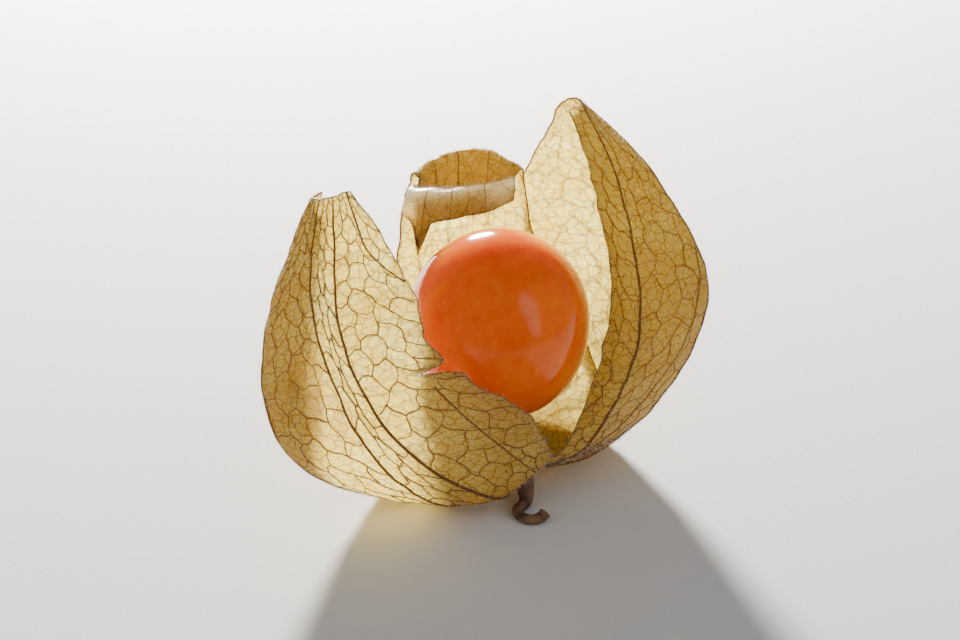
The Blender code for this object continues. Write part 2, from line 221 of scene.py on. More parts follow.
# The photograph's camera: height above the horizon, lens, distance, and the berry's place in the
# frame, as shares of the frame's width from its middle, right and up
CAMERA_ELEVATION = math.radians(27.0)
CAMERA_LENS = 100.0
SENSOR_WIDTH = 36.0
CAMERA_DISTANCE = 269.0
BERRY_RIGHT_OF_MIDDLE = 18.5 / 960.0
BERRY_ABOVE_MIDDLE = 2.0 / 960.0

# Half the width of the square floor, in millimetres
FLOOR_REACH = 2500.0

# Each light's name, place and size in metres, which power setting it takes and what share of it,
# its colour, and whether it shows in glossy skin
LIGHTS = (
    ("back_light", (-0.043, 0.305, 0.1015), (0.05, 0.025), "back_power", 1.0, (1.0, 0.97, 0.90), True),
    ("front_light", (-0.20, -0.25, 0.20), (0.34, 0.34), "side_power", 0.9, (1.0, 0.98, 0.95), False),
    ("side_light", (0.24, -0.22, 0.18), (0.14, 0.34), "side_power", 1.0, (1.0, 0.97, 0.93), True),
)

# The kind of socket for each kind of number
SOCKET_TYPES = {float: "Float", int: "Int"}


# Shapes


def curve_through(knots, points, at):
    """A natural cubic curve through points at knots, read at each value of at."""
    knots = np.asarray(knots, float)
    points = np.asarray(points, float)
    count = len(knots)
    step = np.diff(knots)
    system = np.zeros((count, count))
    pull = np.zeros_like(points)
    system[0, 0] = system[-1, -1] = 1.0
    for i in range(1, count - 1):
        system[i, i - 1 : i + 2] = step[i - 1], 2 * (step[i - 1] + step[i]), step[i]
        pull[i] = 6 * ((points[i + 1] - points[i]) / step[i] - (points[i] - points[i - 1]) / step[i - 1])
    bend = np.linalg.solve(system, pull)
    at = np.atleast_1d(at)
    i = np.clip(np.searchsorted(knots, at, side="right") - 1, 0, count - 2)
    t = (at - knots[i])[:, None]
    h = step[i][:, None]
    slope = (points[i + 1] - points[i]) / h - h * (2 * bend[i] + bend[i + 1]) / 6
    return points[i] + slope * t + bend[i] / 2 * t**2 + (bend[i + 1] - bend[i]) / (6 * h) * t**3


def hole_edge(towards):
    """The point of the stalk hole's edge that lies nearest to the direction of towards."""
    hole = np.array(STALK_HOLE)
    axis = np.array(BERRY_CENTRE) - hole
    axis /= np.linalg.norm(axis)
    out = np.asarray(towards, float) - hole
    out -= axis * (out @ axis)
    return hole + out / np.linalg.norm(out) * HOLE_RADIUS


def rib_line(flap, rib, along):
    """Points of a guide rib, which starts at the edge of the stalk's hole, at each share along."""
    points = flap["ribs"][rib]
    return curve_through((0.0, *flap["along"]), (hole_edge(points[0]), *points), along)


def ease(start, width, value):
    """0 up to start, rising to 1 over width."""
    share = np.clip((value - start) / width, 0.0, 1.0)
    return share * share * (3 - 2 * share)


def parting(flap):
    """How far up the flap parts from the one that follows it."""
    return flap["joined"] / (4 * LOWER_ROWS)


def flap_points(number, across, along):
    """Points of a flap's outside, one for each pair of rib position and share along."""
    before, flap = FLAPS[number - 1], FLAPS[number]
    after = FLAPS[(number + 1) % len(FLAPS)]
    last = len(flap["ribs"]) - 1
    rows = np.stack([rib_line(flap, rib, along) for rib in range(last + 1)], axis=1)
    low = np.clip(np.floor(across).astype(int), 0, last - 1)
    share = across - low
    weights = curve_through(np.arange(last + 1.0), np.eye(last + 1), across) * (1 - CREASE)
    each = np.arange(len(across))
    weights[each, low] += (1 - share) * CREASE
    weights[each, low + 1] += share * CREASE
    place = np.einsum("nr,nrk->nk", weights, rows)
    first_pull = (rib_line(before, len(before["ribs"]) - 1, along) - rows[:, 0]) / 2
    last_pull = (rib_line(after, 0, along) - rows[:, last]) / 2
    first_hold = (1 - ease(parting(before), JOIN_FADE, along)) * np.maximum(1 - across, 0) ** 2
    last_hold = (1 - ease(parting(flap), JOIN_FADE, along)) * np.maximum(1 - last + across, 0) ** 2
    return place + first_pull * first_hold[:, None] + last_pull * last_hold[:, None]


def flap_outward(number, across, along):
    """The husk's outward direction at each of those points."""
    reach = 0.01
    up = flap_points(number, across, np.minimum(along + reach, 1.0))
    up -= flap_points(number, across, np.maximum(along - reach, 0.0))
    side = flap_points(number, across + reach, along) - flap_points(number, across - reach, along)
    normal = np.cross(up, side)
    return normal / np.linalg.norm(normal, axis=1)[:, None]


def flap_outside(number, across, along):
    """The outside of the flap's wall and its outward direction, curled part included."""
    normal = flap_outward(number, across, along)
    raised = SOLID_WALL * ease(FLAPS[number]["curl"], JOIN_FADE, along)
    return flap_points(number, across, along) + normal * raised[:, None], normal


def frame_shift():
    """The way from the millimetre space to the frame, in millimetres."""
    low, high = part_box("berry")
    middle = [(low[k] + high[k]) / 2 / MM - BERRY_BOX_MIDDLE[k] for k in (0, 1)]
    return Vector((*middle, 0.0))


SHIFT = frame_shift()


def to_frame(points):
    """Points in millimetres as points of the frame, in metres."""
    return (np.asarray(points, float) + np.array(SHIFT)) * MM


def mesh_object(name, points, faces, edges=()):
    mesh = bpy.data.meshes.new(name)
    mesh.from_pydata([tuple(point) for point in to_frame(points)], edges, faces)
    made = bpy.data.objects.new(name, mesh)
    bpy.context.scene.collection.objects.link(made)
    return made


def store(mesh, name, values):
    """Keeps one number, or one vector, for each point of the mesh."""
    values = np.asarray(values, float)
    kind, key = ("FLOAT", "value") if values.ndim == 1 else ("FLOAT_VECTOR", "vector")
    mesh.attributes.new(name, kind, "POINT").data.foreach_set(key, values.ravel())


# Node trees


def add_node(tree, kind, inputs=None, **settings):
    """A node with its settings, and each input, by name or number, linked or set."""
    node = tree.nodes.new(kind)
    for key, value in settings.items():
        setattr(node, key, value)
    for key, value in (inputs or {}).items():
        if isinstance(value, bpy.types.NodeSocket):
            tree.links.new(value, node.inputs[key])
        else:
            node.inputs[key].default_value = value
    return node


def math_node(tree, operation, *values, clamp=False):
    inputs = dict(enumerate(values))
    return add_node(tree, "ShaderNodeMath", inputs, operation=operation, use_clamp=clamp).outputs[0]


def times(tree, *values):
    """The product of all the values."""
    product = values[0]
    for value in values[1:]:
        product = math_node(tree, "MULTIPLY", product, value)
    return product


def vector_node(tree, operation, first, second=None, scale=None):
    inputs = {key: value for key, value in ((0, first), (1, second), (3, scale)) if value is not None}
    return add_node(tree, "ShaderNodeVectorMath", inputs, operation=operation).outputs["Vector"]


def noise_node(tree, place, rate, detail, roughness=0.5, output=0):
    inputs = {"Vector": place, "Scale": rate, "Detail": detail, "Roughness": roughness}
    return add_node(tree, "ShaderNodeTexNoise", inputs).outputs[output]


def map_range(tree, value, low, high, to_low, to_high, **settings):
    inputs = {"Value": value, "From Min": low, "From Max": high, "To Min": to_low, "To Max": to_high}
    return add_node(tree, "ShaderNodeMapRange", inputs, **settings).outputs["Result"]


def new_tree(name, kind, inputs, outputs):
    """A node group. Each named socket is given by its default, or by its type where it has none."""
    tree = bpy.data.node_groups.new(name, kind)
    for way, sockets in (("INPUT", inputs), ("OUTPUT", outputs)):
        for label, value in sockets.items():
            typed = isinstance(value, str)
            socket_type = "NodeSocket" + (value if typed else SOCKET_TYPES[type(value)])
            socket = tree.interface.new_socket(name=label, in_out=way, socket_type=socket_type)
            if not typed:
                socket.default_value = value
    return tree, tree.nodes.new("NodeGroupInput").outputs, tree.nodes.new("NodeGroupOutput").inputs


def geometry_tree(name, inputs):
    """A tree for a modifier, with its geometry first and its material last among its inputs."""
    inputs = {"Geometry": "Geometry", **inputs, "Material": "Material"}
    tree, given, result = new_tree(name, "GeometryNodeTree", inputs, {"Geometry": "Geometry"})
    tree.is_modifier = True
    return tree, given, result


def close_tree(tree, geometry, given, result):
    """The last nodes of every geometry tree."""
    real = add_node(tree, "GeometryNodeRealizeInstances", {"Geometry": geometry})
    smooth = add_node(tree, "GeometryNodeSetShadeSmooth", {"Geometry": real.outputs[0]})
    inputs = {"Geometry": smooth.outputs[0], "Material": given["Material"]}
    dressed = add_node(tree, "GeometryNodeSetMaterial", inputs)
    tree.links.new(dressed.outputs[0], result["Geometry"])
    return tree


def attribute(tree, name, kind="FLOAT"):
    """A named attribute, read in a geometry tree."""
    node = add_node(tree, "GeometryNodeInputNamedAttribute", {"Name": name}, data_type=kind)
    return node.outputs["Attribute"]


def grow(drawn, tree, values, name):
    """Runs a geometry tree on an object and keeps the result as a plain mesh object."""
    modifier = drawn.modifiers.new(name, "NODES")
    modifier.node_group = tree
    for item in tree.interface.items_tree:
        if item.in_out == "INPUT" and item.name in values:
            modifier[item.identifier] = values[item.name]
    graph = bpy.context.evaluated_depsgraph_get()
    graph.update()
    evaluated = drawn.evaluated_get(graph)
    mesh = bpy.data.meshes.new_from_object(evaluated, preserve_all_data_layers=True, depsgraph=graph)
    drawn.modifiers.remove(modifier)
    for slot in reversed(range(len(mesh.materials))):
        if mesh.materials[slot] is None:
            mesh.materials.pop(index=slot)
    mesh.name = name
    made = bpy.data.objects.new(name, mesh)
    bpy.context.scene.collection.objects.link(made)
    old = drawn.data
    bpy.data.objects.remove(drawn)
    bpy.data.meshes.remove(old)
    return made


# Materials


def mottle_group():
    inputs = {"Vector": "Vector", "Size": 1.0, "Contrast": 1.0}
    tree, given, result = new_tree("soft_mottle", "ShaderNodeTree", inputs, {"Value": "Float"})
    rate = math_node(tree, "DIVIDE", 1.0, given["Size"])
    large = noise_node(tree, given["Vector"], rate, 3.0, 0.55)
    fine = noise_node(tree, given["Vector"], times(tree, rate, 5.0), 2.0)
    both = math_node(tree, "MULTIPLY_ADD", fine, 0.35, large)
    centred = math_node(tree, "SUBTRACT", both, 0.675)
    value = math_node(tree, "MULTIPLY_ADD", centred, given["Contrast"], 0.5, clamp=True)
    tree.links.new(value, result["Value"])
    return tree


def mottle(tree, place, size, contrast):
    """Soft blotches of two sizes, 0 to 1, that every surface here uses."""
    group = bpy.data.node_groups.get("soft_mottle") or mottle_group()
    inputs = {"Vector": place, "Size": size, "Contrast": contrast}
    return add_node(tree, "ShaderNodeGroup", inputs, node_tree=group).outputs[0]


def vein_group():
    """The finest net of veins, between the raised ones: a mask that is 1 on a vein."""
    inputs = {"Vector": "Vector", "Cell": 1.2, "Width": 0.05, "Small Share": 0.4}
    tree, given, result = new_tree("fine_veins", "ShaderNodeTree", inputs, {"Vein": "Float"})
    stray = noise_node(tree, given["Vector"], 1.1, 2.0, output="Color")
    stray = vector_node(tree, "SUBTRACT", stray, (0.5, 0.5, 0.5))
    bent = vector_node(tree, "ADD", given["Vector"], vector_node(tree, "SCALE", stray, scale=0.9))
    masks = []
    for smaller, wider in ((1.0, 1.0), (2.3, 1.5)):
        rate = math_node(tree, "DIVIDE", smaller, given["Cell"])
        inputs = {"Vector": bent, "Scale": rate, "Randomness": 0.9}
        kind = {"voronoi_dimensions": "2D", "feature": "DISTANCE_TO_EDGE"}
        cells = add_node(tree, "ShaderNodeTexVoronoi", inputs, **kind).outputs["Distance"]
        width = times(tree, given["Width"], times(tree, rate, wider))
        masks.append(map_range(tree, cells, 0.0, width, 1.0, 0.0, interpolation_type="SMOOTHSTEP"))
    small = times(tree, masks[1], given["Small Share"])
    tree.links.new(math_node(tree, "MAXIMUM", masks[0], small), result["Vein"])
    return tree


def new_material(name):
    """A material with an empty tree, that tree, and the socket that its surface goes to."""
    material = bpy.data.materials.new(name)
    material.use_nodes = True
    tree = material.node_tree
    tree.nodes.clear()
    return material, tree, tree.nodes.new("ShaderNodeOutputMaterial").inputs["Surface"]


def mix_colour(tree, factor, low, high):
    inputs = {0: factor, 6: low, 7: high}
    for key in (6, 7):
        if isinstance(inputs[key], tuple):
            inputs[key] = (*inputs[key], 1.0)
    return add_node(tree, "ShaderNodeMix", inputs, data_type="RGBA").outputs[2]


def bump_node(tree, height, strength, distance):
    inputs = {"Strength": strength, "Distance": distance * MM, "Height": height}
    return add_node(tree, "ShaderNodeBump", inputs).outputs[0]


def piece_attribute(tree, name, output="Fac"):
    """A named attribute of the piece, read in a material."""
    return add_node(tree, "ShaderNodeAttribute", attribute_name=name).outputs[output]


def piece_place(tree):
    """Object coordinates in millimetres."""
    place = add_node(tree, "ShaderNodeTexCoord").outputs["Object"]
    return vector_node(tree, "SCALE", place, scale=1.0 / MM)


def let_light_through(tree, surface, skin, share, translucent):
    """Ends a material in its skin with a share of light that passes through."""
    through = add_node(tree, "ShaderNodeBsdfTranslucent", translucent)
    both = add_node(tree, "ShaderNodeMixShader", {0: share, 1: skin.outputs[0], 2: through.outputs[0]})
    tree.links.new(both.outputs[0], surface)


def husk_paper_material(settings):
    material, tree, surface = new_material("husk_paper_finish")
    place = piece_attribute(tree, "paper_map", "Vector")
    rise, withered, lip = (piece_attribute(tree, name) for name in ("rise", "withered", "lip"))
    inputs = {"Vector": place, "Cell": settings.fine_cell, "Width": 0.1, "Small Share": 0.4}
    vein = add_node(tree, "ShaderNodeGroup", inputs, node_tree=vein_group()).outputs[0]
    blotch = mottle(tree, place, 5.0, 2.2)
    low_down = map_range(tree, rise, 0.02, 0.2, 0.75, 0.0)
    # Painted highlight: pale colour along the middle of the back flap's lip
    painted_highlight = math_node(tree, "POWER", lip, 4.0)
    colour = mix_colour(tree, blotch, (0.62, 0.40, 0.10), settings.paper_colour)
    # Tints over the paper: darker near the stalk, withering brown with painted shade, the veins, and a
    # painted highlight on the lip
    for share, tint in (
        (low_down, (0.30, 0.19, 0.06)),
        (times(tree, withered, 0.75), (0.22, 0.115, 0.04)),
        (times(tree, vein, 0.9), settings.vein_colour),
        (painted_highlight, (0.97, 0.95, 0.88)),
    ):
        colour = mix_colour(tree, share, colour, tint)
    glow = mix_colour(tree, blotch, (0.88, 0.77, 0.28), (0.95, 0.92, 0.52))
    # The light let through takes the same withering brown with painted shade, and the painted highlight
    for share, tint in (
        (times(tree, withered, 0.7), (0.58, 0.40, 0.19)),
        (times(tree, vein, 0.95), (0.50, 0.36, 0.12)),
        (painted_highlight, (0.98, 0.96, 0.86)),
    ):
        glow = mix_colour(tree, share, glow, tint)
    wrinkle = noise_node(tree, place, 1.6, 5.0, 0.6)
    bump = bump_node(tree, math_node(tree, "MULTIPLY_ADD", vein, 0.35, wrinkle), 0.5, 0.2)
    paper = add_node(
        tree,
        "ShaderNodeBsdfPrincipled",
        {
            "Base Color": colour,
            "Roughness": 0.34,
            "Specular IOR Level": 0.5,
            "Coat Weight": lip,
            "Coat Roughness": 0.27,
            "Coat IOR": 2.2,
            "Normal": bump,
        },
    )
    let_light_through(tree, surface, paper, 0.72, {"Color": glow, "Normal": bump})
    return material


def vein_material(settings):
    """Dark brown on the ribs and golden brown on thin veins and edges, which let more light through."""
    material, tree, surface = new_material("husk_vein_finish")
    stout = piece_attribute(tree, "stoutness")
    blotch = mottle(tree, piece_place(tree), 2.0, 2.0)
    thin = mix_colour(tree, blotch, (0.34, 0.17, 0.045), (0.52, 0.29, 0.085))
    thick = mix_colour(tree, blotch, settings.vein_colour, (0.30, 0.14, 0.035))
    colour = mix_colour(tree, stout, thin, thick)
    cord = add_node(tree, "ShaderNodeBsdfPrincipled", {"Base Color": colour, "Roughness": 0.55})
    let_light_through(tree, surface, cord, 0.45, {"Color": colour})
    return material


def hair_material():
    material, tree, surface = new_material("husk_hair_finish")
    blotch = mottle(tree, piece_place(tree), 1.0, 1.5)
    colour = mix_colour(tree, blotch, (0.86, 0.78, 0.58), (0.97, 0.95, 0.88))
    hair = add_node(tree, "ShaderNodeBsdfPrincipled", {"Base Color": colour, "Roughness": 0.45})
    let_light_through(tree, surface, hair, 0.5, {"Color": colour})
    return material


def berry_material(settings):
    """Glossy skin that light sinks into, with soft blotches and small pale specks."""
    material, tree, surface = new_material("berry_skin_finish")
    place = piece_place(tree)
    blotch = mottle(tree, place, 6.0, 2.4)
    inputs = {"Vector": place, "Scale": 0.9, "Randomness": 1.0}
    specks = add_node(tree, "ShaderNodeTexVoronoi", inputs).outputs["Distance"]
    speck = map_range(tree, specks, 0.05, 0.12, 0.6, 0.0)
    colour = mix_colour(tree, blotch, settings.deep_colour, settings.light_colour)
    colour = mix_colour(tree, speck, colour, (0.95, 0.34, 0.04))
    height = math_node(tree, "MULTIPLY_ADD", speck, 0.4, noise_node(tree, place, 1.3, 4.0))
    skin = add_node(
        tree,
        "ShaderNodeBsdfPrincipled",
        {
            "Base Color": colour,
            "Roughness": 0.1,
            "Specular IOR Level": 0.22,
            "Subsurface Weight": 1.0,
            "Subsurface Radius": (1.0, 0.33, 0.02),
            "Subsurface Scale": 8.0 * MM,
            "Normal": bump_node(tree, height, 0.25, 0.1),
        },
    )
    tree.links.new(skin.outputs[0], surface)
    return material


def stalk_material():
    material, tree, surface = new_material("stalk_bark_finish")
    place = piece_place(tree)
    blotch = mottle(tree, place, 1.2, 3.0)
    colour = mix_colour(tree, blotch, (0.055, 0.024, 0.012), (0.20, 0.105, 0.05))
    bump = bump_node(tree, noise_node(tree, place, 6.0, 4.0), 0.7, 0.08)
    inputs = {"Base Color": colour, "Roughness": 0.72, "Normal": bump}
    tree.links.new(add_node(tree, "ShaderNodeBsdfPrincipled", inputs).outputs[0], surface)
    return material


# Geometry trees


def pucker_tree():
    """Raises and lowers the wall in soft puckers, both of its faces together."""
    inputs = {"Pucker Height": 0.2, "Pucker Size": 3.0, "Edge Wave": 1.0}
    tree, given, result = geometry_tree("husk_puckers", inputs)
    place = attribute(tree, "paper_map", "FLOAT_VECTOR")
    outward = attribute(tree, "outward", "FLOAT_VECTOR")
    rate = math_node(tree, "DIVIDE", 1.0, given["Pucker Size"])
    centred = math_node(tree, "SUBTRACT", noise_node(tree, place, rate, 2.0, 0.6), 0.5)
    lift = math_node(tree, "MULTIPLY_ADD", attribute(tree, "edge"), given["Edge Wave"], 1.0)
    lift = times(tree, lift, given["Pucker Height"], times(tree, centred, attribute(tree, "free")))
    offset = vector_node(tree, "SCALE", outward, scale=times(tree, lift, 2.0 * MM))
    inputs = {"Geometry": given["Geometry"], "Offset": offset}
    return close_tree(tree, add_node(tree, "GeometryNodeSetPosition", inputs).outputs[0], given, result)


def tube_node(tree, line, radius, sides):
    """A round closed tube along a line, with each point's own radius."""
    ring = add_node(tree, "GeometryNodeCurvePrimitiveCircle", {"Resolution": sides, "Radius": 1.0})
    inputs = {"Curve": line, "Profile Curve": ring.outputs[0], "Scale": radius, "Fill Caps": True}
    return add_node(tree, "GeometryNodeCurveToMesh", inputs).outputs[0]


def cord_tree(name):
    """Round cords of each point's own thickness along the edges of a net."""
    tree, given, result = geometry_tree(name, {"Thickness": 1.0, "Sides": 6})
    line = add_node(tree, "GeometryNodeMeshToCurve", {"Mesh": given["Geometry"]}).outputs[0]
    radius = times(tree, attribute(tree, "radius"), times(tree, given["Thickness"], MM))
    return close_tree(tree, tube_node(tree, line, radius, given["Sides"]), given, result)


def random_node(tree, kind, least, most, first_input, seed):
    """A random value between two, whose inputs start at the number that its kind has."""
    inputs = {first_input: least, first_input + 1: most, "Seed": seed}
    return add_node(tree, "FunctionNodeRandomValue", inputs, data_type=kind)


def hair_tree():
    """Short tapered hairs that stand on the husk's outside, each leaning its own way."""
    inputs = {"Hairs per Square Metre": 4.0e6, "Length": 0.4, "Root Radius": 0.02, "Lean": 0.6, "Seed": 5}
    tree, given, result = geometry_tree("husk_hairs", inputs)
    density = times(tree, given["Hairs per Square Metre"], attribute(tree, "hairy"))
    inputs = {"Mesh": given["Geometry"], "Density": density, "Seed": given["Seed"]}
    kind = {"distribute_method": "RANDOM"}
    points = add_node(tree, "GeometryNodeDistributePointsOnFaces", inputs, **kind)
    inputs = {
        "Vertices": 3,
        "Radius Top": 0.0,
        "Radius Bottom": times(tree, given["Root Radius"], MM),
        "Depth": times(tree, given["Length"], MM),
    }
    hair = add_node(tree, "GeometryNodeMeshCone", inputs, fill_type="NGON")
    most = vector_node(tree, "SCALE", (1.0, 1.0, 1.0), scale=given["Lean"])
    least = vector_node(tree, "SCALE", most, scale=-1.0)
    lean = random_node(tree, "FLOAT_VECTOR", least, most, 0, given["Seed"]).outputs[0]
    lean = add_node(tree, "FunctionNodeEulerToRotation", {0: lean}).outputs[0]
    inputs = {"Rotation": points.outputs["Rotation"], "Rotate By": lean}
    turned = add_node(tree, "FunctionNodeRotateRotation", inputs, rotation_space="LOCAL")
    inputs = {
        "Points": points.outputs["Points"],
        "Instance": hair.outputs["Mesh"],
        "Rotation": turned.outputs[0],
        "Scale": random_node(tree, "FLOAT", 0.45, 1.15, 2, given["Seed"]).outputs[1],
    }
    placed = add_node(tree, "GeometryNodeInstanceOnPoints", inputs)
    return close_tree(tree, placed.outputs[0], given, result)


def berry_tree():
    """A ball drawn out into the berry's outline, with a small scar at its top, laid on its axis."""
    inputs = {
        "Radius": 9.2,
        "Top Length": 9.1,
        "Foot Length": 10.2,
        "Scar Radius": 0.9,
        "Scar Depth": 0.25,
        "Unevenness": 0.12,
        "Centre": "Vector",
        "Turn": "Rotation",
    }
    tree, given, result = geometry_tree("berry_form", inputs)
    ball = add_node(tree, "GeometryNodeMeshUVSphere", {"Segments": 160, "Rings": 96, "Radius": 1.0})
    place = add_node(tree, "GeometryNodeInputPosition").outputs[0]
    x, y, z = add_node(tree, "ShaderNodeSeparateXYZ", {0: place}).outputs
    radius = given["Radius"]
    is_top = math_node(tree, "GREATER_THAN", z, 0.0)
    longer = math_node(tree, "SUBTRACT", given["Top Length"], given["Foot Length"])
    length = math_node(tree, "MULTIPLY_ADD", is_top, longer, given["Foot Length"])
    flat = math_node(tree, "SQRT", math_node(tree, "ADD", times(tree, x, x), times(tree, y, y)))
    share = math_node(tree, "DIVIDE", times(tree, flat, radius), given["Scar Radius"])
    dimple = math_node(tree, "EXPONENT", times(tree, share, share, -1.0))
    dimple = times(tree, dimple, given["Scar Depth"], math_node(tree, "SIGN", z))
    height = math_node(tree, "SUBTRACT", times(tree, z, length), dimple)
    swell = math_node(tree, "SUBTRACT", noise_node(tree, place, 1.6, 1.0), 0.75)
    uneven = math_node(tree, "DIVIDE", given["Unevenness"], radius)
    wide = times(tree, radius, math_node(tree, "MULTIPLY_ADD", swell, uneven, 1.0))
    inputs = {0: times(tree, x, wide), 1: times(tree, y, wide), 2: height}
    drawn_out = add_node(tree, "ShaderNodeCombineXYZ", inputs).outputs[0]
    inputs = {"Geometry": ball.outputs["Mesh"], "Position": drawn_out}
    shaped = add_node(tree, "GeometryNodeSetPosition", inputs).outputs[0]
    inputs = {
        "Geometry": shaped,
        "Rotation": given["Turn"],
        "Scale": (MM, MM, MM),
        "Translation": given["Centre"],
    }
    return close_tree(tree, add_node(tree, "GeometryNodeTransform", inputs).outputs[0], given, result)


def stalk_tree():
    """The stalk's skin along its middle line, with shallow grooves and a few swellings."""
    inputs = {"Grooves": 0.06, "Sides": 28, "Steps": 160}
    tree, given, result = geometry_tree("stalk_form", inputs)
    line = add_node(tree, "GeometryNodeMeshToCurve", {"Mesh": given["Geometry"]}).outputs[0]
    inputs = {"Curve": line, "Count": given["Steps"]}
    line = add_node(tree, "GeometryNodeResampleCurve", inputs).outputs[0]
    tube = tube_node(tree, line, times(tree, attribute(tree, "radius"), MM), given["Sides"])
    place = add_node(tree, "GeometryNodeInputPosition").outputs[0]
    place = vector_node(tree, "SCALE", place, scale=1 / MM)
    lift = math_node(tree, "SUBTRACT", noise_node(tree, place, 2.2, 3.0), 0.62)
    lift = times(tree, lift, given["Grooves"], 2.0 * MM)
    normal = add_node(tree, "GeometryNodeInputNormal").outputs[0]
    offset = vector_node(tree, "SCALE", normal, scale=lift)
    inputs = {"Geometry": tube, "Offset": offset}
    return close_tree(tree, add_node(tree, "GeometryNodeSetPosition", inputs).outputs[0], given, result)


# Husk


def bell(value, middle, reach):
    """1 at middle, falling to nothing a little past reach on either side."""
    return np.exp(-(((value - middle) / reach) ** 2))


def line_positions(steps):
    """Rib positions of lines that cut each gap between two ribs into its number of steps."""
    spots = [0.0]
    for rib, count in enumerate(steps):
        spots += [rib + (k + 1) / count for k in range(count)]
    return spots


def edge_stray(chance, along, start):
    """How far, in shares of the first rib gap, a free edge strays from its guide line."""
    stray = np.zeros_like(along)
    for rate, size in ((2.0, 0.02), (5.0, 0.016), (11.0, 0.012), (23.0, 0.006)):
        stray += size * np.sin(math.tau * rate * along + chance.uniform(0, math.tau))
    return stray * ease(start, 0.1, along)


def wall_lines(number, chance, settings):
    """Rib position and share along of each point of a flap's fine wall, with worn edges and tip."""
    flap = FLAPS[number]
    last = len(flap["ribs"]) - 1
    spots = line_positions(flap["fine"])
    along = np.arange(FINE_ROWS + 1) / FINE_ROWS
    across = np.repeat(np.array(spots)[:, None], FINE_ROWS + 1, axis=1)
    first = edge_stray(chance, along, parting(FLAPS[number - 1]))
    final = edge_stray(chance, along, parting(flap))
    if number == LEFT:
        first += settings.tear_depth * bell(along, settings.tear_place, TEAR_REACH)
    if number == BACK:
        final += settings.overlap * bell(along, *OVERLAP) * ease(parting(flap), 0.1, along)
    near_first, near_final = np.maximum(1 - across, 0) ** 2, np.maximum(across - last + 1, 0) ** 2
    across = across + first * near_first + final * near_final
    rows = np.repeat(along[None, :], len(spots), axis=0)
    waves = [np.sin(math.tau * rate * across + chance.uniform(0, math.tau)) for rate in (0.4, 0.9, 1.7)]
    end = -0.001 * (3 + sum(waves))
    if number == BACK:
        end += (settings.hanging_point + BACK_SHORTER) * bell(across, 1.0, 0.2) - BACK_SHORTER
    return across, rows + end * ease(0.88, 0.12, rows)


def wall_grid(number, chance, settings):
    """The fine wall of one flap: outside points, outward directions and what its finish needs."""
    across, rows = wall_lines(number, chance, settings)
    shape = across.shape
    points, normals = flap_outside(number, across.ravel(), rows.ravel())
    points, normals = points.reshape(*shape, 3), normals.reshape(*shape, 3)
    closing = HOLE_CLOSING * (1 - ease(0.0, 0.03, rows))
    points += (np.array(STALK_HOLE) - points) * closing[..., None]
    if number != BACK:
        gather = settings.tip_gather * ease(0.92, 0.08, np.arange(FINE_ROWS + 1) / FINE_ROWS)
        points += (points.mean(axis=0) - points) * gather[None, :, None]
    sideways = np.linalg.norm(np.diff(points, axis=0), axis=2)
    upward = np.linalg.norm(np.diff(points, axis=1), axis=2).mean(axis=0)
    x = np.vstack([np.zeros(shape[1]), np.cumsum(sideways, axis=0)])
    half = x[-1] / 2
    x = x - half
    y = np.concatenate([[0.0], np.cumsum(upward)])
    near = np.minimum(np.minimum(x + half, half - x), (y[-1] - y)[None, :])
    # Brown mask: withering at every flap's tip, with painted shade in the left flap's dent creases and on the
    # back flap's rolled curl
    withered, lip = 0.25 * ease(0.9, 0.1, rows), np.zeros(shape)
    if number == LEFT:
        beside, above = (across - DENT_PLACE[0]) / DENT_REACH[0], (rows - DENT_PLACE[1]) / DENT_REACH[1]
        in_dent = np.exp(-(beside**2) - above**2)
        fold = np.cos(6.0 * beside + 3.5 * above)
        points -= normals * (settings.dent_depth * in_dent * (1 + 0.45 * fold))[..., None]
        # Painted shade: the dent's creases are painted brown where shade falls in them
        withered = withered + in_dent * (0.55 + 0.4 * fold)
    if number == BACK:
        # The lip mask sets the lip's glossy coat and a painted highlight in pale colour
        reach = LIP_REACH + 0.05 * (bell(across, 0.3, 0.5) + bell(across, 3.6, 0.5))
        lip = bell(rows, LIP_PLACE, reach)
        # Painted shade: the back flap's rolled curl is painted brown where it hangs in shade, all but its lip
        withered = ease(0.66, 0.12, rows) * (1 - 0.95 * lip**3)
    on_map = [x + MAP_STEP * number, np.repeat(y[None, :], shape[0], axis=0), np.zeros(shape)]
    return {
        "points": points,
        "normals": normals,
        "withered": withered,
        "lip": lip,
        "map": np.stack(on_map, axis=2),
        "near": near,
        "along": rows,
    }


def join_grids(grids):
    """Numbers the points of the three grids so that joined edges share theirs."""
    numbers, start = [], 0
    for grid in grids:
        shape = grid["near"].shape
        numbers.append(np.arange(start, start + shape[0] * shape[1]).reshape(shape))
        start += shape[0] * shape[1]
    for k, flap in enumerate(FLAPS):
        after = (k + 1) % len(FLAPS)
        held = round(parting(flap) * FINE_ROWS) + 1
        here, there = grids[k], grids[after]
        for key in ("points", "normals"):
            middle = (here[key][-1, :held] + there[key][0, :held]) / 2
            here[key][-1, :held] = middle
            there[key][0, :held] = middle
        numbers[after][0, :held] = numbers[k][-1, :held]
        joined = np.arange(FINE_ROWS + 1)[None, :] <= held
        for grid in (here, there):
            grid["near"] = np.where(joined, FAR_FROM_EDGE, grid["near"])
    return numbers


def free_edge(part, number):
    """The point numbers along a flap's free edge: up one side, over the tip and down the other."""
    first = round(parting(FLAPS[number - 1]) * FINE_ROWS)
    final = round(parting(FLAPS[number]) * FINE_ROWS)
    return [*part[0, first:], *part[1:-1, -1], *part[-1, final:][::-1]]


def outside_faces(numbers):
    faces = []
    for part in numbers:
        corners = [part[:-1, :-1], part[:-1, 1:], part[1:, 1:], part[1:, :-1]]
        faces += [tuple(face) for face in np.stack(corners, axis=2).reshape(-1, 4).tolist()]
    return faces


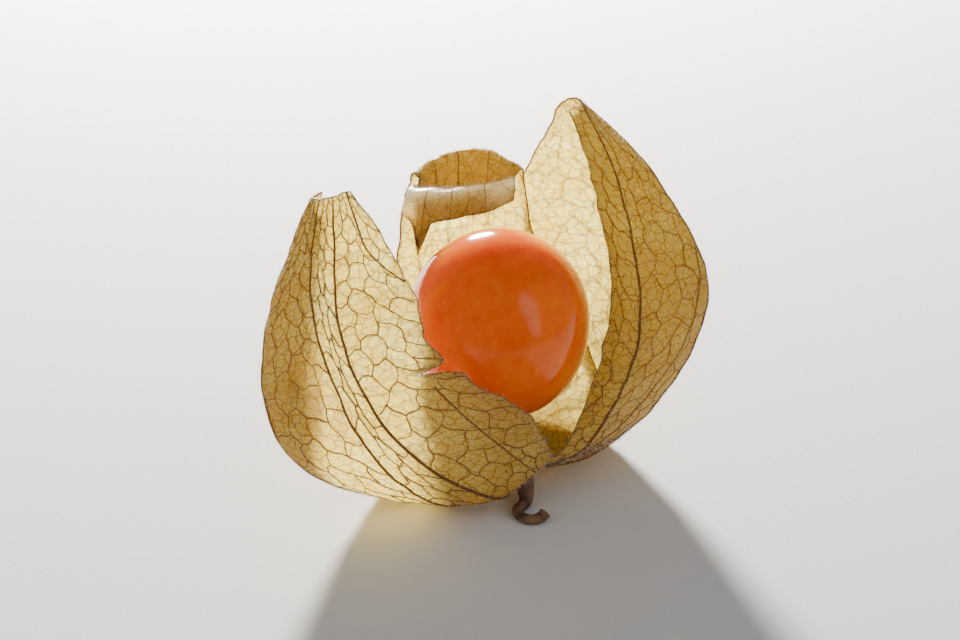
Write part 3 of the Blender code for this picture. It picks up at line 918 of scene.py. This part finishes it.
def closed_wall(faces, count):
    """The outside faces, the inside ones, whose points are numbered from count on, and the rim."""
    edges = set()
    for face in faces:
        edges.update(zip(face, face[1:] + face[:1]))
    inside = [tuple(i + count for i in reversed(face)) for face in faces]
    rim = [(b, a, a + count, b + count) for a, b in sorted(edges) if (b, a) not in edges]
    return [*faces, *inside, *rim]


def husk_wall(settings, material):
    """The wall as a plain mesh object, its point numbers along the free edges, outside and inside,
    and how many of its faces lie on the outside."""
    chance = random.Random(settings.seed)
    grids = [wall_grid(number, chance, settings) for number in range(len(FLAPS))]
    numbers = join_grids(grids)
    used = np.unique(np.concatenate([part.ravel() for part in numbers]))
    numbers = [np.searchsorted(used, part) for part in numbers]
    flat = {}
    for key in grids[0]:
        values = [grid[key].reshape(-1, *grid[key].shape[2:]) for grid in grids]
        flat[key] = np.concatenate(values)[used]
    outside = flat["points"]
    normals = flat["normals"] / np.linalg.norm(flat["normals"], axis=1)[:, None]
    outside[:, 2] = np.maximum(outside[:, 2], 0.0)
    inside = outside - normals * settings.wall
    inside[:, 2] = np.maximum(inside[:, 2], settings.wall)
    count = len(outside)
    edges = [[int(i) for i in free_edge(part, number)] for number, part in enumerate(numbers)]
    free_edges = [[(i, i + count) for i in line] for line in edges]
    faces = outside_faces(numbers)
    wall = mesh_object("husk_wall_form", np.vstack([outside, inside]), closed_wall(faces, count))
    free = ease(0.15, 1.2, outside[:, 2]) * ease(0.02, 0.1, flat["along"])
    calm = 1 - 0.85 * ease(0.88, 0.1, flat["along"])
    edge = 1 - ease(0.0, 3.0, flat["near"])
    hairy = ease(0.9, 2.4, outside[:, 2]) * (0.5 + 1.2 * (1 - ease(0.0, 0.7, flat["near"])))
    for name, values in (
        ("paper_map", flat["map"]),
        ("outward", normals),
        ("free", free * calm),
        ("edge", edge),
        ("rise", flat["along"]),
        ("withered", flat["withered"]),
        ("lip", flat["lip"]),
    ):
        store(wall.data, name, np.concatenate([values, values]))
    store(wall.data, "hairy", np.concatenate([hairy, 0.15 * hairy * edge]))
    values = {
        "Pucker Height": settings.pucker_height,
        "Pucker Size": settings.pucker_size,
        "Edge Wave": settings.edge_wave,
        "Material": material,
    }
    return grow(wall, pucker_tree(), values, "husk_wall"), free_edges, len(faces)


def rib_lines(flap, chance, settings):
    """The ribs between a flap's two edges, which stray a little, and its long side veins."""
    lines = []
    along = np.linspace(0.02, 0.995, 110)
    for rib in range(1, len(flap["ribs"]) - 1):
        radius = settings.rib_radius * flap["strength"][rib] * (1.0 - 0.5 * along)
        stray = np.zeros_like(along)
        for rate, size in ((3.0, 0.012), (8.0, 0.008)):
            stray += size * np.sin(math.tau * rate * along + chance.uniform(0, math.tau))
        lines.append((rib + stray, along, radius))
    for route in flap["long"]:
        path = curve_through(np.arange(len(route)), route, np.linspace(0, len(route) - 1, 50))
        lines.append((path[:, 0], path[:, 1], settings.rib_radius * np.linspace(0.6, 0.45, 50)))
    return lines


def net_lines(flap, chance, settings):
    """The raised net between the ribs: uneven six-sided cells in brick order, with bowed sides."""
    last = len(flap["ribs"]) - 1
    spots = line_positions(flap["cells"])
    on_rib = [spot.is_integer() for spot in spots]
    ribs = [line for line, on in enumerate(on_rib) if on]
    top = 2 * settings.net_rows
    places = {}
    for line, spot in enumerate(spots):
        steps_off = min(abs(line - rib) for rib in ribs)
        for row in range(1, top + 1):
            x, y = spot, row / top
            if row < top:
                y += (chance.uniform(-0.3, 0.3) + 0.45 * steps_off) / top
            if not on_rib[line]:
                gap = spots[line] - spots[line - 1]
                x += gap * (0.14 if (line + row) % 2 else -0.14) + gap * chance.uniform(-0.16, 0.16)
            places[line, row] = (x, y)
    pairs = []
    for line in range(len(spots)):
        for row in range(1, top):
            if not on_rib[line]:
                pairs.append(((line, row), (line, row + 1)))
            if line + 1 < len(spots) and (line + row) % 2:
                pairs.append(((line, row), (line + 1, row)))
    lines = []
    for a, b in pairs:
        start, end = np.array(places[a]), np.array(places[b])
        share = np.linspace(0, 1, 6)
        route = start + (end - start) * share[:, None]
        bow = chance.uniform(-0.16, 0.16)
        side = np.array([-(end - start)[1] * 4.0, (end - start)[0] / 4.0])
        wiggle = chance.uniform(-0.06, 0.06) * np.sin(math.tau * share)
        route += side * (bow * np.sin(math.pi * share) + wiggle)[:, None]
        radius = settings.vein_radius * chance.uniform(0.7, 1.15) * (1 - 0.4 * route[:, 1])
        lines.append((np.clip(route[:, 0], 0.0, last), np.clip(route[:, 1], 0.0, 0.995), radius))
    return lines


def settle(points, wall, thickness, outside_count):
    """Moves each point onto the outside of the wall as it is after puckering."""
    moved = []
    for point in points:
        _, near, normal, face = wall.closest_point_on_mesh(Vector(to_frame(point)))
        if face >= outside_count:
            near = near - normal * thickness * MM
        moved.append(np.array(near) / MM - np.array(SHIFT))
    return moved


def husk_veins(settings, material, wall, free_edges, outside_count):
    """Ribs and veins as thin cords sunk halfway into the husk's outside, and its thickened edges."""
    chance = random.Random(settings.seed + 1)
    points, radii, edges = [], [], []
    for number, flap in enumerate(FLAPS):
        lines = [*rib_lines(flap, chance, settings), *net_lines(flap, chance, settings)]
        for across, along, radius in lines:
            start = len(points)
            points += list(flap_outside(number, across, along)[0])
            radii += list(radius * (1 - 0.4 * ease(flap["curl"] - 0.1, 0.15, along)))
            edges += [(k, k + 1) for k in range(start, len(points) - 1)]
    points = settle(np.array(points), wall, settings.wall, outside_count)
    raised = len(points)
    for flap, pairs in zip(FLAPS, free_edges):
        start = len(points)
        for outer, inner in pairs[::2]:
            middle = (wall.data.vertices[outer].co + wall.data.vertices[inner].co) / 2
            points.append(np.array(middle) / MM - np.array(SHIFT))
            radii.append(EDGE_SHARE * settings.rib_radius * flap["strength"][0])
        edges += [(k, k + 1) for k in range(start, len(points) - 1)]
    points, radii = np.array(points), np.array(radii)
    stoutness = np.clip((radii - 0.07) / 0.08, 0.0, 1.0)
    stoutness[raised:] = 0.0
    points[:, 2] = np.maximum(points[:, 2], radii + 0.02)
    net = mesh_object("husk_net", points, [], edges)
    store(net.data, "radius", radii)
    store(net.data, "stoutness", stoutness)
    values = {"Thickness": 1.0, "Sides": 6, "Material": material}
    return grow(net, cord_tree("husk_cords"), values, "husk_veins")


def husk_hairs(settings, material, wall):
    drawn = bpy.data.objects.new("husk_hair_ground", wall.data.copy())
    bpy.context.scene.collection.objects.link(drawn)
    values = {
        "Hairs per Square Metre": settings.hair_density / MM**2,
        "Length": settings.hair_length,
        "Root Radius": settings.hair_radius,
        "Lean": 0.7,
        "Seed": settings.seed,
        "Material": material,
    }
    return grow(drawn, hair_tree(), values, "husk_hairs")


# Settings


def length_setting(name, description, millimetres):
    words = {"name": name, "description": description}
    return bpy.props.FloatProperty(**words, default=millimetres * MM, min=0.0, subtype="DISTANCE")


def share_setting(name, description, default):
    words = {"name": name, "description": description}
    return bpy.props.FloatProperty(**words, default=default, min=0.0, max=1.0, subtype="FACTOR")


def colour_setting(name, description, default):
    words = {"name": name, "description": description}
    return bpy.props.FloatVectorProperty(**words, default=default, min=0.0, max=1.0, subtype="COLOR")


def power_setting(name, description, watts):
    return bpy.props.FloatProperty(name=name, description=description, default=watts, unit="POWER")


def number_setting(name, description, default):
    return bpy.props.FloatProperty(name=name, description=description, default=default, min=0.0)


class HuskSettings(bpy.types.PropertyGroup):
    wall: length_setting("Wall", "Thickness of the papery wall", 0.14)
    pucker_height: length_setting("Pucker height", "How far the wall rises and sinks", 0.35)
    pucker_size: length_setting("Pucker size", "Width of a pucker", 3.2)
    edge_wave: number_setting("Edge wave", "How much more the free edges wave", 1.2)
    rib_radius: length_setting("Rib radius", "Radius of a main rib near the stalk", 0.19)
    vein_radius: length_setting("Vein radius", "Radius of a raised vein", 0.088)
    tip_gather: share_setting("Tip gather", "How much the tips narrow", 0.06)
    hanging_point: share_setting("Hanging point", "Length of the point on the rolled flap", 0.05)
    net_rows: bpy.props.IntProperty(
        name="Net rows", description="Rows of cells between stalk and tip", default=16, min=4
    )
    overlap: share_setting("Overlap", "How far the back flap laps over the right one", 0.24)
    fine_cell: length_setting("Fine cell", "Width of a cell of the finest net", 1.2)
    tear_place: share_setting("Tear place", "How far up the left flap its edge is torn", 0.5)
    tear_depth: share_setting("Tear depth", "Depth of that tear, in shares of the first rib gap", 0.34)
    dent_depth: length_setting("Dent depth", "Depth of the crumpled dent in the left flap", 0.6)
    hair_density: number_setting("Hair density", "Hairs on a square millimetre", 22.0)
    hair_length: length_setting("Hair length", "Length of the longest hairs", 0.5)
    hair_radius: length_setting("Hair radius", "Radius of a hair at its root", 0.022)
    paper_colour: colour_setting("Paper", "Colour of the dry wall", (0.82, 0.59, 0.17))
    vein_colour: colour_setting("Veins", "Colour of ribs and veins", (0.20, 0.075, 0.014))
    seed: bpy.props.IntProperty(name="Seed", description="Changes the random details", default=7)


class BerrySettings(bpy.types.PropertyGroup):
    radius: length_setting("Radius", "Radius of the berry", 9.2)
    top_length: length_setting("Top length", "From its middle to its top", 9.1)
    foot_length: length_setting("Foot length", "From its middle to the stalk", 10.2)
    scar_radius: length_setting("Scar radius", "Radius of the dimple at its top", 0.9)
    scar_depth: length_setting("Scar depth", "Depth of that dimple", 0.25)
    light_colour: colour_setting("Light skin", "Colour of the paler skin", (0.86, 0.18, 0.002))
    deep_colour: colour_setting("Deep skin", "Colour of the deeper skin", (0.74, 0.11, 0.001))


class StageSettings(bpy.types.PropertyGroup):
    floor_colour: colour_setting("Floor", "Colour of the plain floor", (0.69, 0.685, 0.67))
    back_power: power_setting("Back light", "Power of the light behind the berry", 8.0)
    side_power: power_setting("Side light", "Power of each soft light before it", 0.3)
    room_light: number_setting("Room light", "Strength of the even light all round", 0.27)


def plain(settings):
    """The settings as plain values, with lengths in millimetres."""
    values = {}
    for name in type(settings).__annotations__:
        value = getattr(settings, name)
        kind = settings.bl_rna.properties[name].subtype
        if kind == "DISTANCE":
            value = round(value / MM, 6)
        values[name] = tuple(value) if kind == "COLOR" else value
    return SimpleNamespace(**values)


# Operators


def dress(piece, node):
    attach(piece, "root")
    if node:
        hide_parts(node)


class PHYSALIS_OT_husk(bpy.types.Operator):
    """Build the husk's thin wall, its ribs and veins, and the hairs on it"""

    bl_idname = "physalis.husk"
    bl_label = "Build husk"

    def execute(self, context):
        settings = plain(context.scene.physalis_husk)
        wall, free_edges, outside_count = husk_wall(settings, husk_paper_material(settings))
        veins = husk_veins(settings, vein_material(settings), wall, free_edges, outside_count)
        hairs = husk_hairs(settings, hair_material(), wall)
        dress(wall, "husk")
        dress(veins, None)
        dress(hairs, None)
        return {"FINISHED"}


class PHYSALIS_OT_berry(bpy.types.Operator):
    """Build the berry"""

    bl_idname = "physalis.berry"
    bl_label = "Build berry"

    def execute(self, context):
        settings = plain(context.scene.physalis_berry)
        axis = (BERRY_CENTRE - STALK_HOLE).normalized()
        drawn = mesh_object("berry_seed", [(0.0, 0.0, 0.0)], [])
        values = {
            "Radius": settings.radius,
            "Top Length": settings.top_length,
            "Foot Length": settings.foot_length,
            "Scar Radius": settings.scar_radius,
            "Scar Depth": settings.scar_depth,
            "Centre": (BERRY_CENTRE + SHIFT) * MM,
            "Turn": axis.to_track_quat("Z", "Y").to_euler(),
            "Material": berry_material(settings),
        }
        dress(grow(drawn, berry_tree(), values, "berry_fruit"), "berry")
        return {"FINISHED"}


class PHYSALIS_OT_stalk(bpy.types.Operator):
    """Build the short hooked stalk"""

    bl_idname = "physalis.stalk"
    bl_label = "Build stalk"

    def execute(self, context):
        last = len(STALK_ROUTE) - 1
        knots = np.arange(last + 1, dtype=float)
        steps = np.linspace(0, last, 12 * last + 1)
        places = curve_through(knots, [place for place, _ in STALK_ROUTE], steps)
        radii = curve_through(knots, [[radius] for _, radius in STALK_ROUTE], steps)[:, 0]
        edges = [(k, k + 1) for k in range(len(steps) - 1)]
        drawn = mesh_object("stalk_line", places, [], edges)
        store(drawn.data, "radius", radii)
        piece = grow(drawn, stalk_tree(), {"Material": stalk_material()}, "stalk_fruit")
        dress(piece, "stalk")
        return {"FINISHED"}


def build_floor(colour):
    corners = np.array([(-1, -1, 0), (1, -1, 0), (1, 1, 0), (-1, 1, 0)]) * FLOOR_REACH
    floor = mesh_object("floor", corners, [(0, 1, 2, 3)])
    material, tree, surface = new_material("floor_finish")
    inputs = {"Base Color": (*colour, 1.0), "Roughness": 0.85, "Specular IOR Level": 0.2}
    tree.links.new(add_node(tree, "ShaderNodeBsdfPrincipled", inputs).outputs[0], surface)
    floor.data.materials.append(material)


def area_light(name, place, size, power, colour, in_gloss):
    """A soft light turned towards the berry."""
    data = bpy.data.lights.new(name, "AREA")
    data.shape = "ELLIPSE"
    data.size, data.size_y = size
    data.energy = power
    data.color = colour
    light = bpy.data.objects.new(name, data)
    light.location = place
    middle = (BERRY_CENTRE + SHIFT) * MM
    light.rotation_euler = (middle - Vector(place)).to_track_quat("-Z", "Y").to_euler()
    light.visible_glossy = in_gloss
    bpy.context.scene.collection.objects.link(light)


def place_camera(scene):
    back = Vector((0, -math.cos(CAMERA_ELEVATION), math.sin(CAMERA_ELEVATION)))
    right = Vector((1, 0, 0))
    up = Vector((0, math.sin(CAMERA_ELEVATION), math.cos(CAMERA_ELEVATION)))
    frame_width = CAMERA_DISTANCE * SENSOR_WIDTH / CAMERA_LENS
    target = BERRY_CENTRE - (right * BERRY_RIGHT_OF_MIDDLE + up * BERRY_ABOVE_MIDDLE) * frame_width
    data = bpy.data.cameras.new("view")
    data.lens = CAMERA_LENS
    data.sensor_width = SENSOR_WIDTH
    data.clip_start = 10 * MM
    camera = bpy.data.objects.new("view", data)
    place = (target + back * CAMERA_DISTANCE + SHIFT) * MM
    camera.matrix_world = Matrix.Translation(place) @ Matrix((right, up, back)).transposed().to_4x4()
    scene.collection.objects.link(camera)
    scene.camera = camera


class PHYSALIS_OT_stage(bpy.types.Operator):
    """Set up the floor, the lights and the camera"""

    bl_idname = "physalis.stage"
    bl_label = "Build stage"

    def execute(self, context):
        settings = plain(context.scene.physalis_stage)
        build_floor(settings.floor_colour)
        for name, place, size, power, share, colour, in_gloss in LIGHTS:
            area_light(name, place, size, share * getattr(settings, power), colour, in_gloss)
        world = bpy.data.worlds.new("room")
        context.scene.world = world
        world.use_nodes = True
        background = world.node_tree.nodes["Background"].inputs
        background["Color"].default_value = (0.93, 0.95, 1.0, 1.0)
        background["Strength"].default_value = settings.room_light
        place_camera(context.scene)
        return {"FINISHED"}


class PHYSALIS_PT_panel(bpy.types.Panel):
    bl_label = "Physalis berry"
    bl_idname = "PHYSALIS_PT_panel"
    bl_space_type = "VIEW_3D"
    bl_region_type = "UI"
    bl_category = "Physalis"

    def draw(self, context):
        scene = context.scene
        for settings, operator in (
            (scene.physalis_husk, "physalis.husk"),
            (scene.physalis_berry, "physalis.berry"),
            (None, "physalis.stalk"),
            (scene.physalis_stage, "physalis.stage"),
        ):
            box = self.layout.box()
            box.operator(operator)
            for name in type(settings).__annotations__ if settings else ():
                box.prop(settings, name)


CLASSES = (
    HuskSettings,
    BerrySettings,
    StageSettings,
    PHYSALIS_OT_husk,
    PHYSALIS_OT_berry,
    PHYSALIS_OT_stalk,
    PHYSALIS_OT_stage,
    PHYSALIS_PT_panel,
)


def register():
    for item in CLASSES:
        bpy.utils.register_class(item)
    bpy.types.Scene.physalis_husk = bpy.props.PointerProperty(type=HuskSettings)
    bpy.types.Scene.physalis_berry = bpy.props.PointerProperty(type=BerrySettings)
    bpy.types.Scene.physalis_stage = bpy.props.PointerProperty(type=StageSettings)


def unregister():
    del bpy.types.Scene.physalis_stage
    del bpy.types.Scene.physalis_berry
    del bpy.types.Scene.physalis_husk
    for item in reversed(CLASSES):
        bpy.utils.unregister_class(item)


def main():
    register()
    bpy.ops.physalis.stage()
    bpy.ops.physalis.husk()
    bpy.ops.physalis.berry()
    bpy.ops.physalis.stalk()


if __name__ == "__main__":
    main()
